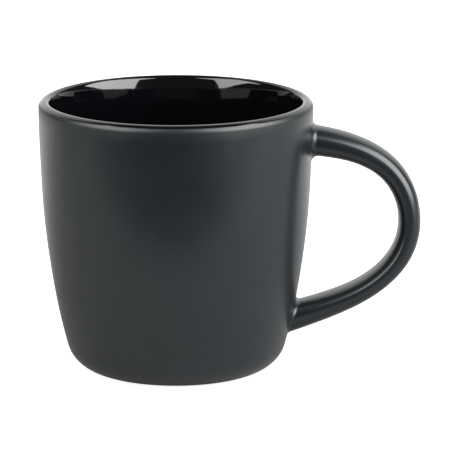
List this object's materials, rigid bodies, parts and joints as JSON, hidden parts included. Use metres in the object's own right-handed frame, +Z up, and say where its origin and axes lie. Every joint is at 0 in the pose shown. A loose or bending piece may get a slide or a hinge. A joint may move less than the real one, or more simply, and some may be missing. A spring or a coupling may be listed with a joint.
{
  "type": "ceramic mug",
  "caption": "Ceramic mug with a rounded barrel body, a loop handle, a matte black outside and a gloss black inside and lip.",
  "frame": {"origin": "centre of the foot ring, on the surface the mug stands on", "axes": "+Z up along the mug's axis, +X from the axis towards the handle"},
  "size_m": [0.1234, 0.0884, 0.088],
  "materials": {
    "stoneware": "bare fired stoneware, light buff grey",
    "slip": "bare fired slip, light buff grey",
    "matte_glaze": "matte black glaze with a soft sheen",
    "gloss_glaze": "gloss black glaze"
  },
  "bodies": {
    "root": {"clay_body": "stoneware", "clay_handle": "stoneware", "upper_slip_joint": "slip", "lower_slip_joint": "slip", "body_glaze": "matte_glaze", "handle_glaze": "matte_glaze", "base_glaze": "matte_glaze", "liner_glaze": "gloss_glaze"}
  },
  "joints": []
}
